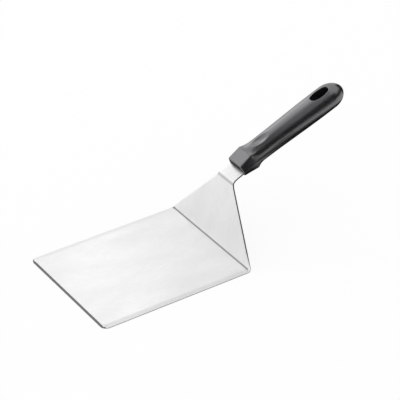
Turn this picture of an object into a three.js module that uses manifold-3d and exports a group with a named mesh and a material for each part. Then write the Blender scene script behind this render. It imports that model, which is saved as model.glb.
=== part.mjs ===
// Plancha spatula: one bent steel sheet, whose tang is locked into a moulded plastic handle.
// Millimetres and degrees, +Z up. The origin is the middle of the flat blade's underside,
// +X runs from the front edge towards the handle, and XZ is the plane of symmetry.
import * as THREE from "three";
import { mergeVertices } from "three/addons/utils/BufferGeometryUtils.js";
import Module from "manifold-3d";

// Steel sheet. Its lengths run along the middle of the sheet, from bend corner to bend corner.
const SHEET_THICKNESS = 1.5;
const BLADE_WIDTH = 120;
const BLADE_LENGTH = 150;
const FRONT_CORNER_RADIUS = 6;
const FRONT_EDGE_THICKNESS = 0.6;
const FRONT_BEVEL_WIDTH = 1.6;
const SIDE_EDGE_THICKNESS = 0.6;
const SIDE_BEVEL_WIDTH = 4.5;
const SIDE_BEVEL_FADE_LENGTH = 10;
const REAR_CORNER_RADIUS = 8;
const SHOULDER_LENGTH = 60.6;
const SHOULDER_ANGLE = 76;
const SHOULDER_BEND_RADIUS = 2;
const NECK_LENGTH = 13.2;
const NECK_ANGLE = 27;
const NECK_BEND_RADIUS = 3;
const NECK_BEND_WIDTH = 19.4;
const NECK_COLLAR_WIDTH = 20.8;
const NECK_FILLET_RADIUS = 18;

// Tang, the part of the sheet inside the handle. It ends where enough plastic is left before the slot.
const TANG_TO_SLOT = 19;
const TANG_WIDTH = 14;
const TANG_FULL_WIDTH_DEPTH = 2;
const TANG_TAPER_LENGTH = 4;
const TANG_CORNER_RADIUS = 3;
const LOCK_HOLE_DIAMETER = 6;
const FIRST_LOCK_HOLE_DEPTH = 24;
const LAST_LOCK_HOLE_TO_END = 18;

// Handle. Its lengths run along its axis from the middle of the collar's front face,
// and the axis lies flatter than the neck by the tilt.
const HANDLE_LENGTH = 121.2;
const HANDLE_TILT = 5.35;
const AXIS_ABOVE_STRIP = 2.5;
const COLLAR_LENGTH = 14.6;
const COLLAR_WALL = 0.7;
const COLLAR_RIDGE_HALF_WIDTH = 8.9;
const COLLAR_FRONT_ABOVE_STRIP = 8.1;
const COLLAR_FRONT_BELOW_STRIP = 4.1;
const COLLAR_REAR_ABOVE_AXIS = 8.8;
const COLLAR_REAR_BELOW_AXIS = 9.5;
const COLLAR_REAR_LEAN = 11;
const FLARE_LENGTH = 9.4;
const WAIST_WIDTH = 22.6;
const WAIST_HEIGHT = 18.8;
const BELLY_TO_TAIL = 26.2;
const BELLY_WIDTH = 26;
const BELLY_HEIGHT = 20.4;
const TAIL_ROUNDING_LENGTH = 16.5;

// Thumb dish behind the collar's ridge, and slot for hanging in the tail
const DISH_BEHIND_RIDGE = 5.4;
const DISH_LENGTH = 20;
const DISH_WIDTH = 8.4;
const DISH_DEPTH = 0.73;
const SLOT_TO_TAIL = 12.9;
const SLOT_LENGTH = 19.5;
const SLOT_WIDTH = 9.7;
const SLOT_BOW = 0.9;

// Space between the steel and the plastic around it
const CLEARANCE = 0.3;

// Fineness of the curved faces
const BEND_STEPS = 8;
const CORNER_STEPS = 6;
const LEAST_SHEET_STEP = 0.03;
const SECTION_POINTS = 48;
const FLARE_STEPS = 8;
const GRIP_STEPS = 10;
const TAIL_STEPS = 9;
const ROUND_HOLE_SIDES = 32;
const SLOT_ARC_STEPS = 16;
const DISH_SIDES = 48;

const wasm = await Module();
wasm.setup();

// Solids and geometry

// A closed geometry as a solid that can be cut and joined.
function toSolid(geometry) {
  const bare = geometry.clone();
  bare.deleteAttribute("normal");
  bare.deleteAttribute("uv");
  const merged = mergeVertices(bare);
  return new wasm.Manifold(new wasm.Mesh({
    numProp: 3,
    vertProperties: merged.attributes.position.array,
    triVerts: Uint32Array.from(merged.index.array),
  }));
}

function toGeometry(solid) {
  const { vertProperties, triVerts } = solid.getMesh();
  const geometry = new THREE.BufferGeometry();
  geometry.setAttribute("position", new THREE.BufferAttribute(vertProperties, 3));
  geometry.setIndex(new THREE.BufferAttribute(triVerts, 1));
  geometry.computeVertexNormals();
  return geometry;
}

// A closed skin over rings of equally many points, each ring turning left about the way forward.
function loft(rings) {
  const count = rings[0].length;
  const indices = [];
  for (let row = 0; row + 1 < rings.length; row += 1) {
    for (let i = 0; i < count; i += 1) {
      const a = row * count + i;
      const b = row * count + (i + 1) % count;
      indices.push(a, b, b + count, a, b + count, a + count);
    }
  }
  const lastRing = (rings.length - 1) * count;
  for (let i = 1; i + 1 < count; i += 1) {
    indices.push(0, i + 1, i);
    indices.push(lastRing, lastRing + i, lastRing + i + 1);
  }
  const geometry = new THREE.BufferGeometry().setFromPoints(rings.flat());
  geometry.setIndex(indices);
  return geometry;
}

// A line through the corners given, with each corner that has a radius replaced by an arc.
function roundedLine(corners) {
  const points = [];
  corners.forEach((corner, i) => {
    const here = new THREE.Vector2(corner.x, corner.y);
    if (!corner.radius) {
      points.push(here);
      return;
    }
    const toLast = new THREE.Vector2(corners[i - 1].x, corners[i - 1].y).sub(here);
    const toNext = new THREE.Vector2(corners[i + 1].x, corners[i + 1].y).sub(here);
    const shortest = Math.min(toLast.length(), toNext.length());
    toLast.normalize();
    toNext.normalize();
    const halfAngle = Math.acos(toLast.dot(toNext)) / 2;
    const setback = Math.min(corner.radius / Math.tan(halfAngle), shortest / 2);
    const radius = setback * Math.tan(halfAngle);
    const inward = toLast.clone().add(toNext).normalize();
    const centre = here.clone().addScaledVector(inward, radius / Math.sin(halfAngle));
    const start = here.clone().addScaledVector(toLast, setback).sub(centre);
    const sweep = Math.PI - 2 * halfAngle;
    const turn = Math.sign(toNext.cross(toLast)) * sweep;
    for (let k = 0; k <= CORNER_STEPS; k += 1) {
      const spoke = start.clone().rotateAround(new THREE.Vector2(), turn * k / CORNER_STEPS);
      points.push(spoke.add(centre));
    }
  });
  return points;
}

// Height of a line of points at x, by straight interpolation.
function heightAt(points, x) {
  const next = points.findIndex((point) => point.x >= x);
  if (next <= 0) return points[0].y;
  const [a, b] = [points[next - 1], points[next]];
  return THREE.MathUtils.mapLinear(x, a.x, b.x, a.y, b.y);
}

// Steel sheet: the way it bends

const slotPlace = HANDLE_LENGTH - SLOT_TO_TAIL - SLOT_LENGTH / 2;
const tangLength = slotPlace - SLOT_LENGTH / 2 - TANG_TO_SLOT;
const shoulderTurn = THREE.MathUtils.degToRad(SHOULDER_ANGLE);
const neckAngle = THREE.MathUtils.degToRad(NECK_ANGLE);
const neckTurn = neckAngle - shoulderTurn;

// The two bends of the middle of the sheet. The radii named above are those inside each bend.
const shoulderRadius = SHOULDER_BEND_RADIUS + SHEET_THICKNESS / 2;
const neckRadius = NECK_BEND_RADIUS + SHEET_THICKNESS / 2;
const shoulderSetback = shoulderRadius * Math.tan(shoulderTurn / 2);
const neckSetback = neckRadius * Math.tan(-neckTurn / 2);
const runs = [
  { length: BLADE_LENGTH - shoulderSetback, turn: 0 },
  { length: shoulderRadius * shoulderTurn, turn: shoulderTurn },
  { length: SHOULDER_LENGTH - shoulderSetback - neckSetback, turn: 0 },
  { length: neckRadius * -neckTurn, turn: neckTurn },
  { length: NECK_LENGTH - neckSetback + tangLength, turn: 0 },
];
const runEnds = runs.map((run, i) => runs.slice(0, i + 1).reduce((sum, each) => sum + each.length, 0));
const [bladeEnd, shoulderStart, shoulderEnd, neckStart, tangEnd] = runEnds;
const shoulderBendMiddle = (bladeEnd + shoulderStart) / 2;
const neckBendMiddle = (shoulderEnd + neckStart) / 2;
const collarFace = tangEnd - tangLength;

// Place and heading of the middle of the sheet after a distance from the front edge.
function sheetFrame(distance) {
  let x = -BLADE_LENGTH / 2;
  let z = SHEET_THICKNESS / 2;
  let heading = 0;
  let left = distance;
  for (const run of runs) {
    const step = Math.min(left, run.length);
    const half = run.turn * step / run.length / 2;
    const chord = half === 0 ? step : step * Math.sin(half) / half;
    x += chord * Math.cos(heading + half);
    z += chord * Math.sin(heading + half);
    heading += 2 * half;
    left -= step;
  }
  return {
    middle: new THREE.Vector3(x, 0, z),
    along: new THREE.Vector3(Math.cos(heading), 0, Math.sin(heading)),
    up: new THREE.Vector3(-Math.sin(heading), 0, Math.cos(heading)),
  };
}

// Steel sheet: its flat pattern, as half widths over the distance from the front edge

const tangTaperStart = collarFace + TANG_FULL_WIDTH_DEPTH;
const tangTaperEnd = tangTaperStart + TANG_TAPER_LENGTH;

const flatPattern = roundedLine([
  { x: 0, y: 0 },
  { x: 0, y: BLADE_WIDTH / 2, radius: FRONT_CORNER_RADIUS },
  { x: shoulderBendMiddle, y: BLADE_WIDTH / 2, radius: REAR_CORNER_RADIUS },
  { x: neckBendMiddle, y: NECK_BEND_WIDTH / 2, radius: NECK_FILLET_RADIUS },
  { x: collarFace, y: NECK_COLLAR_WIDTH / 2 },
  { x: tangTaperStart, y: NECK_COLLAR_WIDTH / 2 },
  { x: tangTaperEnd, y: TANG_WIDTH / 2 },
  { x: tangEnd, y: TANG_WIDTH / 2, radius: TANG_CORNER_RADIUS },
  { x: tangEnd, y: 0 },
]).slice(1, -1);

const sideBevelEnd = shoulderStart + SIDE_BEVEL_FADE_LENGTH;

// Distances at which the sheet's section is drawn: corners of the pattern, ends of the bevels, and bends.
function sheetStations() {
  const stations = [...flatPattern.map((point) => point.x), FRONT_BEVEL_WIDTH, sideBevelEnd];
  for (const [start, end] of [[bladeEnd, shoulderStart], [shoulderEnd, neckStart]]) {
    for (let k = 0; k <= BEND_STEPS; k += 1) {
      stations.push(THREE.MathUtils.lerp(start, end, k / BEND_STEPS));
    }
  }
  stations.sort((a, b) => a - b);
  return stations.filter((place, i) => i === 0 || place - stations[i - 1] > LEAST_SHEET_STEP);
}

// Section of the sheet: flat underside, square edges and ground bevels along the front and both sides
// of the top. The side bevels fade out above the shoulder bend.
function sheetRing(distance) {
  const frame = sheetFrame(distance);
  const halfWidth = heightAt(flatPattern, distance);
  const frontShare = Math.max(1 - distance / FRONT_BEVEL_WIDTH, 0);
  const sideShare = THREE.MathUtils.clamp((sideBevelEnd - distance) / SIDE_BEVEL_FADE_LENGTH, 0, 1);
  const topZ = SHEET_THICKNESS / 2 - frontShare * (SHEET_THICKNESS - FRONT_EDGE_THICKNESS);
  const edgeZ = Math.min(topZ, SHEET_THICKNESS / 2 - sideShare * (SHEET_THICKNESS - SIDE_EDGE_THICKNESS));
  const bevelY = halfWidth - Math.min(SIDE_BEVEL_WIDTH, halfWidth / 2);
  const corners = [
    [halfWidth, -SHEET_THICKNESS / 2],
    [halfWidth, edgeZ],
    [bevelY, topZ],
    [-bevelY, topZ],
    [-halfWidth, edgeZ],
    [-halfWidth, -SHEET_THICKNESS / 2],
  ];
  return corners.map(([y, z]) => frame.middle.clone().addScaledVector(frame.up, z).setY(y));
}

// A round rod square to the tang, for a lock hole or the plastic that fills it.
function lockRod(place, diameter, length) {
  const frame = sheetFrame(place);
  const rod = new THREE.CylinderGeometry(diameter / 2, diameter / 2, length, ROUND_HOLE_SIDES);
  rod.rotateX(Math.PI / 2);
  rod.rotateY(-neckAngle);
  rod.translate(frame.middle.x, 0, frame.middle.z);
  return rod;
}

const lockHolePlaces = [collarFace + FIRST_LOCK_HOLE_DEPTH, tangEnd - LAST_LOCK_HOLE_TO_END];

function makeBlade() {
  let sheet = toSolid(loft(sheetStations().map(sheetRing)));
  for (const place of lockHolePlaces) {
    sheet = sheet.subtract(toSolid(lockRod(place, LOCK_HOLE_DIAMETER, 2 * SHEET_THICKNESS)));
  }
  return toGeometry(sheet);
}

// Handle: its place, and its sections in its own frame, X along its axis and Z across it

const collarFaceLean = THREE.MathUtils.degToRad(HANDLE_TILT);
const handleAngle = neckAngle - collarFaceLean;
const handleAlong = new THREE.Vector3(Math.cos(handleAngle), 0, Math.sin(handleAngle));
const handleUp = new THREE.Vector3(-Math.sin(handleAngle), 0, Math.cos(handleAngle));
const handlePlace = sheetFrame(collarFace).middle
  .addScaledVector(handleUp, AXIS_ABOVE_STRIP)
  .addScaledVector(handleAlong, -AXIS_ABOVE_STRIP * Math.tan(collarFaceLean));

const collarSideHalfWidth = NECK_COLLAR_WIDTH / 2 + CLEARANCE + COLLAR_WALL;
const collarRearLean = THREE.MathUtils.degToRad(COLLAR_REAR_LEAN);
const waistStart = COLLAR_LENGTH + FLARE_LENGTH;
const bellyPlace = HANDLE_LENGTH - BELLY_TO_TAIL;
const tailRoundingStart = HANDLE_LENGTH - TAIL_ROUNDING_LENGTH;

// Half width and half height of the oval grip.
function gripOval(place) {
  const share = THREE.MathUtils.smoothstep(place, waistStart, bellyPlace);
  const rounding = Math.max(place - tailRoundingStart, 0) / TAIL_ROUNDING_LENGTH;
  const taper = Math.sqrt(1 - rounding * rounding);
  return {
    halfWidth: taper * THREE.MathUtils.lerp(WAIST_WIDTH, BELLY_WIDTH, share) / 2,
    halfHeight: taper * THREE.MathUtils.lerp(WAIST_HEIGHT, BELLY_HEIGHT, share) / 2,
  };
}

// A point of the six-sided collar, as y and z, at some eighths of a turn from its side edge.
function collarPoint(eighths, top, bottom, sideEdge) {
  const fold = 2 - Math.abs(Math.abs(eighths) - 2);
  const ridge = eighths > 0 ? top : bottom;
  const side = Math.abs(eighths) > 2 ? -1 : 1;
  if (fold > 1) {
    return [side * COLLAR_RIDGE_HALF_WIDTH * (2 - fold), ridge];
  }
  return [
    side * THREE.MathUtils.lerp(collarSideHalfWidth, COLLAR_RIDGE_HALF_WIDTH, fold),
    THREE.MathUtils.lerp(sideEdge, ridge, fold),
  ];
}

// Ring of the handle's skin: facets on the collar, which flow over the flare into the oval grip.
function handleRing(place) {
  const oval = gripOval(place);
  const rise = Math.min(place / COLLAR_LENGTH, 1);
  const flare = THREE.MathUtils.clamp((place - COLLAR_LENGTH) / FLARE_LENGTH, 0, 1);
  const facets = (1 - flare) ** 2;
  const frontTop = COLLAR_FRONT_ABOVE_STRIP - AXIS_ABOVE_STRIP;
  const frontBottom = COLLAR_FRONT_BELOW_STRIP + AXIS_ABOVE_STRIP;
  const top = THREE.MathUtils.lerp(frontTop, COLLAR_REAR_ABOVE_AXIS, rise);
  const bottom = THREE.MathUtils.lerp(frontBottom, COLLAR_REAR_BELOW_AXIS, rise);
  const sideEdge = THREE.MathUtils.lerp(-AXIS_ABOVE_STRIP, 0, rise);
  const lean = THREE.MathUtils.lerp(collarFaceLean, collarRearLean, rise) * (1 - flare);
  const ring = [];
  for (let i = 0; i < SECTION_POINTS; i += 1) {
    const eighths = 8 * i / SECTION_POINTS - 4;
    const angle = eighths * Math.PI / 4;
    const [facetY, facetZ] = collarPoint(eighths, top, -bottom, sideEdge);
    const y = THREE.MathUtils.lerp(oval.halfWidth * Math.cos(angle), facetY, facets);
    const z = THREE.MathUtils.lerp(oval.halfHeight * Math.sin(angle), facetZ, facets);
    ring.push(new THREE.Vector3(place - z * Math.tan(lean), y, z));
  }
  return ring;
}

// Places along the axis at which the handle's rings lie. The last ring, half a step before the tip,
// closes the tail with a small flat face.
function handleStations() {
  const stations = [0];
  for (let k = 0; k < FLARE_STEPS; k += 1) {
    stations.push(THREE.MathUtils.lerp(COLLAR_LENGTH, waistStart, k / FLARE_STEPS));
  }
  for (let k = 0; k < GRIP_STEPS; k += 1) {
    stations.push(THREE.MathUtils.lerp(waistStart, tailRoundingStart, k / GRIP_STEPS));
  }
  const tailStep = Math.PI / (2 * TAIL_STEPS + 1);
  for (let k = 0; k <= TAIL_STEPS; k += 1) {
    stations.push(tailRoundingStart + TAIL_ROUNDING_LENGTH * Math.sin(tailStep * k));
  }
  return stations;
}

// Dish for the thumb: an ovoid that meets the top of the grip along an oval rim.
// Its depth is measured from the sides of the rim, and from the grip's crown it is deeper.
function dishCutter() {
  const place = COLLAR_LENGTH + DISH_BEHIND_RIDGE + DISH_LENGTH / 2;
  const oval = gripOval(place);
  const rimZ = oval.halfHeight * Math.sqrt(1 - (DISH_WIDTH / 2 / oval.halfWidth) ** 2);
  const floorZ = rimZ - DISH_DEPTH;
  const crownDepth = oval.halfHeight - floorZ;
  const curveAlong = ((DISH_LENGTH / 2) ** 2 + crownDepth ** 2) / (2 * crownDepth);
  const curveAcross = ((DISH_WIDTH / 2) ** 2 + DISH_DEPTH ** 2) / (2 * DISH_DEPTH);
  const bulge = oval.halfHeight;
  const cutter = new THREE.SphereGeometry(1, DISH_SIDES, DISH_SIDES / 2);
  cutter.scale(Math.sqrt(curveAlong * bulge), bulge, Math.sqrt(curveAcross * bulge));
  cutter.rotateX(Math.PI / 2);
  cutter.translate(place, 0, floorZ + bulge);
  return cutter;
}

// Slot for hanging, with round ends and bowed sides, cut square through the grip. Its outline is four
// arcs. The ends' radius is smaller than half the width by the bow, and the centre of each side's arc
// lies so far off that the side meets both ends smoothly.
function slotCutter() {
  const halfWidth = SLOT_WIDTH / 2;
  const endRadius = halfWidth - SLOT_BOW;
  const endPlace = SLOT_LENGTH / 2 - endRadius;
  const sideOffset = (endPlace ** 2 - SLOT_BOW ** 2) / (2 * SLOT_BOW);
  const sideRadius = sideOffset + halfWidth;
  const joint = Math.atan2(sideOffset, endPlace);
  const outline = new THREE.Shape();
  outline.absarc(endPlace, 0, endRadius, -joint, joint);
  outline.absarc(0, -sideOffset, sideRadius, joint, Math.PI - joint);
  outline.absarc(-endPlace, 0, endRadius, Math.PI - joint, Math.PI + joint);
  outline.absarc(0, sideOffset, sideRadius, Math.PI + joint, 2 * Math.PI - joint);
  const depth = 2 * BELLY_HEIGHT;
  const cutter = new THREE.ExtrudeGeometry(outline, {
    depth,
    bevelEnabled: false,
    curveSegments: SLOT_ARC_STEPS,
  });
  cutter.translate(slotPlace, 0, -depth / 2);
  return cutter;
}

// Pocket around the tang, open at the collar's face, with plastic left standing in the lock holes.
function pocketCutter() {
  const halfHeight = SHEET_THICKNESS / 2 + CLEARANCE;
  const places = flatPattern.map((point) => point.x).filter((place) => place >= collarFace);
  const rings = [collarFace - NECK_LENGTH / 2, ...places, tangEnd + CLEARANCE].map((place) => {
    const frame = sheetFrame(Math.min(place, tangEnd));
    const past = Math.max(place - tangEnd, 0);
    const halfWidth = heightAt(flatPattern, THREE.MathUtils.clamp(place, collarFace, tangEnd)) + CLEARANCE;
    const corners = [[halfWidth, -1], [halfWidth, 1], [-halfWidth, 1], [-halfWidth, -1]];
    return corners.map(([y, side]) => frame.middle.clone()
      .addScaledVector(frame.along, past)
      .addScaledVector(frame.up, side * halfHeight)
      .setY(y));
  });
  let pocket = toSolid(loft(rings));
  for (const place of lockHolePlaces) {
    pocket = pocket.subtract(toSolid(lockRod(place, LOCK_HOLE_DIAMETER - 2 * CLEARANCE, 4 * halfHeight)));
  }
  return toGeometry(pocket);
}

function makeHandle(toHandleFrame) {
  const skin = toSolid(loft(handleStations().map(handleRing)));
  const pocket = pocketCutter().applyMatrix4(toHandleFrame);
  return toGeometry(skin
    .subtract(toSolid(dishCutter()))
    .subtract(toSolid(slotCutter()))
    .subtract(toSolid(pocket)));
}

// Assembly

const brushedSteel = new THREE.MeshStandardMaterial({ color: 0xd9dadb, roughness: 0.35, metalness: 1 });
const blackPlastic = new THREE.MeshStandardMaterial({ color: 0x1d1d1f, roughness: 0.5, metalness: 0 });

const blade = new THREE.Mesh(makeBlade(), brushedSteel);
blade.name = "blade";

const handle = new THREE.Mesh(new THREE.BufferGeometry(), blackPlastic);
handle.name = "handle";
handle.position.copy(handlePlace);
handle.rotation.y = -handleAngle;
handle.updateMatrix();
handle.geometry = makeHandle(handle.matrix.clone().invert());

const spatula = new THREE.Group();
spatula.add(blade, handle);

export default spatula;
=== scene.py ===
"""Plancha spatula: a bent sheet of brushed steel with a moulded black handle.

The operators make the blade, the handle and the studio around them, in metres and in the frame of the
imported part: the origin is the middle of the blade's underside and +X runs towards the handle.
"""
import math

import bmesh
import bpy
import numpy as np
from bpy.props import FloatProperty, FloatVectorProperty, PointerProperty
from mathutils import Matrix, Quaternion, Vector


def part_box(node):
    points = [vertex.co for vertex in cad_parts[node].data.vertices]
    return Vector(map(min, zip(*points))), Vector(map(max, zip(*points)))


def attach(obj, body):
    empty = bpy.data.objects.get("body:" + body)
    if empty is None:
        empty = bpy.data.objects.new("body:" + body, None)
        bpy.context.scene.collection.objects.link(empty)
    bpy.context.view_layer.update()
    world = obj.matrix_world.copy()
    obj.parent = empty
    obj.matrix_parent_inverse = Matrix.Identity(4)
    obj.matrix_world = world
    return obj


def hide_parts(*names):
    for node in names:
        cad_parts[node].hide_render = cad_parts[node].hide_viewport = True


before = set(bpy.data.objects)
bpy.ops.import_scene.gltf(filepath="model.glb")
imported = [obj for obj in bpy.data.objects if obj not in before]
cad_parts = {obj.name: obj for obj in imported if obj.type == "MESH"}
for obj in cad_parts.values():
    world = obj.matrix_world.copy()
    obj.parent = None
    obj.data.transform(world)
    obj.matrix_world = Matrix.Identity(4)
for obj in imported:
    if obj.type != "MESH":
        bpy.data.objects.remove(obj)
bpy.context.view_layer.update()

bl_info = {
    "name": "Plancha Spatula",
    "version": (1, 0, 0),
    "blender": (4, 5, 0),
    "location": "3D View > Sidebar > Spatula",
    "description": "Makes a plancha spatula of brushed steel with a moulded handle",
    "category": "Add Mesh",
}

MM = 0.001
BODY = "root"
blade_low, blade_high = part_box("blade")

# Fineness of the meshes
ARC_STEPS = 14
BEND_STEPS = 20
EDGE_STEPS = 3
ACROSS_STEPS = 14
BEVEL_STEPS = 3
LONGEST_SHEET_STEP = 3 * MM
LEAST_SHEET_STEP = 0.02 * MM
POINTS_PER_EIGHTH = 24
SECTION_POINTS = 8 * POINTS_PER_EIGHTH
BOTTOM_POINT = 2 * POINTS_PER_EIGHTH
TOP_POINT = 6 * POINTS_PER_EIGHTH
SKIN_STEP = 0.45 * MM
TAIL_STEPS = 40
RIM_STEPS = 5
PATCH_STEPS = 8
SLOT_WALL_STEPS = 10
ROD_SIDES = 48
CARD_STEPS = 24

# Rounds of smoothing around the handle's sections, and along the collar
SECTION_SMOOTHING = 5
LENGTH_SMOOTHING = 3

# Points of the rounded line where a bevel starts, as shares of its half width
RIDGE_SHARES = (1, 0.33, -0.33, -1)

# Edges that turn by more than this stay sharp
SHEET_SHARP_ANGLE = math.radians(35)
HANDLE_SHARP_ANGLE = math.radians(50)

# Painted shade in the bends: the share of a bend at which the painted shade is darkest, and how strong it is
# there
SHOULDER_BEND_SHADE = (0.5, 1.0)
NECK_BEND_SHADE = (0.3, 0.6)

# How far before its bend the painted shade starts, how much painted shade stays on the neck behind its bend,
# and the shares of the near bevel's width over which the painted shade ends
BEND_SHADE_LEAD = 0.5 * MM
NECK_PAINTED_SHADE = 0.08
BEND_SHADE_FADE = (0.2, 0.7)

# Grain of the steel, in changes per metre across and along the sheet
FLAT_MAP = "flat_sheet"
SCRATCH_SCALE = (1500, 180)
STREAK_SCALE = (480, 110)
PATCH_SCALE = (55, 18)
CUT_MARK_SCALE = (900, 900)

# Grain of the plastic, in changes per metre
MOULD_GRAIN_SCALE = 2200
FLECK_SCALE = 900
CLOUD_SCALE = 60

# Roughness: how far it varies on the steel, what grinding adds to it, its range on cut edges, and how far
# it varies on the plastic
STEEL_ROUGHNESS_SPREAD = 0.05
GROUND_ROUGHNESS = 0.06
CUT_ROUGHNESS = (0.4, 0.55)
PLASTIC_ROUGHNESS_SPREAD = (-0.04, 0.1)

# Studio: plain white, the centre and radius of the bent cards, and the height of the shades on the floor
WHITE = (1, 1, 1, 1)
CARD_CENTRE = 0.15
CARD_RADIUS = 0.45
SHADE_HEIGHT = 1 * MM


def size(name, description, millimetres):
    """A length property, whose default is written in millimetres."""
    return FloatProperty(
        name=name, description=description, default=millimetres * MM, min=0, precision=5, unit="LENGTH"
    )


def angle(name, description, degrees):
    """An angle property, whose default is written in degrees."""
    return FloatProperty(
        name=name, description=description, default=math.radians(degrees), precision=3, subtype="ANGLE"
    )


def factor(name, description, default, most=1.0):
    """A plain number property, from nought to the most that it may be."""
    return FloatProperty(
        name=name, description=description, default=default, min=0, max=most, precision=3, subtype="FACTOR"
    )


def colour(name, description, default):
    """A colour property, in linear values."""
    return FloatVectorProperty(
        name=name, description=description, default=default, min=0, max=1, size=3, subtype="COLOR"
    )


class BladeSizes(bpy.types.PropertyGroup):
    """Sizes of the steel sheet, along its middle from bend corner to bend corner"""

    thickness: size("Thickness", "Thickness of the sheet", 1.5)
    width: size("Blade width", "Width of the flat blade", (blade_high.y - blade_low.y) / MM)
    length: size("Blade length", "Front edge to the corner of the shoulder bend", -2 * blade_low.x / MM)
    front_corner_radius: size("Front corner radius", "Rounding of the two front corners", 6)
    edge_thickness: size("Edge thickness", "Thickness left at the ground sides and the front edge", 0.6)
    edge_radius: size("Edge radius", "Rounding of the sheet's edges", 0.12)
    front_bevel_width: size("Front bevel width", "Width of the ground bevel along the front", 1.6)
    bevel_width: size("Bevel width", "Width of the ground bevel along each side", 4.5)
    bevel_fade: size("Bevel fade", "Length above the shoulder bend over which side bevels end", 10)
    bevel_softness: size("Bevel softness", "Half width of the rounded line where a bevel starts", 0.5)
    rear_corner_radius: size("Rear corner radius", "Rounding of the corners at the shoulder bend", 8)
    shoulder_length: size("Shoulder length", "Length of the shoulder between its two bends", 60.6)
    shoulder_angle: angle("Shoulder angle", "Slope of the shoulder", 76)
    shoulder_bend_radius: size("Shoulder bend radius", "Inside radius of the shoulder bend", 2)
    neck_length: size("Neck length", "Length from the neck bend to the handle", 13.2)
    neck_angle: angle("Neck angle", "Slope of the neck", 27)
    neck_bend_radius: size("Neck bend radius", "Inside radius of the neck bend", 3)
    neck_bend_width: size("Neck width at the bend", "Width at the neck bend, before the fillet", 19.4)
    neck_collar_width: size("Neck width at the collar", "Width of the sheet where the handle starts", 20.8)
    neck_fillet_radius: size("Neck fillet radius", "Rounding where the shoulder's sides meet the neck", 18)
    tang_to_slot: size("Tang to slot", "Plastic left between the tang and the hanging slot", 19)
    tang_width: size("Tang width", "Width of the tang inside the handle", 14)
    tang_full_depth: size("Full width depth", "Depth at which the sheet starts to narrow to the tang", 2)
    tang_taper: size("Tang taper", "Length over which the sheet narrows to the tang", 4)
    tang_corner_radius: size("Tang corner radius", "Rounding of the tang's end", 3)
    lock_hole_diameter: size("Lock hole diameter", "Diameter of the holes that lock the tang", 6)
    first_lock_hole_depth: size("First lock hole depth", "Collar's face to the first lock hole", 24)
    last_lock_hole_to_end: size("Last lock hole to end", "Last lock hole to the tang's end", 18)


class HandleSizes(bpy.types.PropertyGroup):
    """Sizes of the handle, along its axis from the middle of the collar's front face"""

    length: size("Handle length", "Collar's front face to the tip of the tail", 121.2)
    tilt: angle("Handle tilt", "How much flatter the handle lies than the neck", 5.35)
    axis_above_strip: size("Axis above strip", "Height of the handle's axis over the steel strip", 2.5)
    collar_length: size("Collar length", "Front face of the collar to its ridge", 14.6)
    collar_side_half_width: size("Collar side half width", "Axis to the collar's side edges", 11.4)
    collar_ridge_half_width: size("Collar ridge half width", "Axis to the collar's four ridges", 8.9)
    collar_front_above_strip: size("Collar front above strip", "Strip to the front face's top", 8.1)
    collar_front_below_strip: size("Collar front below strip", "Strip to the front face's bottom", 4.1)
    collar_rear_above_axis: size("Collar rear above axis", "Axis to the top of the rear ridge", 8.8)
    collar_rear_below_axis: size("Collar rear below axis", "Axis to the bottom of the rear ridge", 9.5)
    collar_rear_lean: angle("Collar rear lean", "Lean of the rear ridge from upright to the axis", 11)
    collar_rim_radius: size("Collar rim radius", "Rounding around the collar's front face", 0.7)
    flare_length: size("Flare length", "Length over which the collar's facets fade into the grip", 9.4)
    waist_width: size("Waist width", "Width of the grip behind the collar", 22.6)
    waist_height: size("Waist height", "Height of the grip behind the collar", 18.8)
    belly_to_tail: size("Belly to tail", "Widest place of the grip to the tip", 26.2)
    belly_width: size("Belly width", "Width of the grip at its widest", 26)
    belly_height: size("Belly height", "Height of the grip at its widest", 20.4)
    tail_rounding_length: size("Tail rounding length", "Length over which the tail closes", 16.5)
    dish_behind_ridge: size("Dish behind ridge", "Collar's ridge to the thumb dish", 5.4)
    dish_length: size("Dish length", "Length of the thumb dish", 20)
    dish_width: size("Dish width", "Width of the thumb dish", 8.4)
    dish_depth: size("Dish depth", "Depth of the dish below the sides of its rim", 0.73)
    dish_softness: size("Dish softness", "Rounding of the dish's rim", 0.3)
    slot_to_tail: size("Slot to tail", "End of the hanging slot to the tip", 12.9)
    slot_length: size("Slot length", "Length of the hanging slot", 19.5)
    slot_width: size("Slot width", "Width of the hanging slot", 9.7)
    slot_bow: size("Slot bow", "How much smaller the slot's end radius is than half its width", 0.9)
    slot_rim_radius: size("Slot rim radius", "Rounding of the hanging slot's rim", 0.45)
    slot_margin: size("Slot margin", "Width of the skin that is laid out around the slot", 3.8)
    skin_inset: size("Skin inset", "Depth of the fine skin inside the part's flat-sided solid", 0.04)
    moulding_gap: size("Moulding gap", "Space between the strip and the plastic moulded around it", 0.2)


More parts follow.
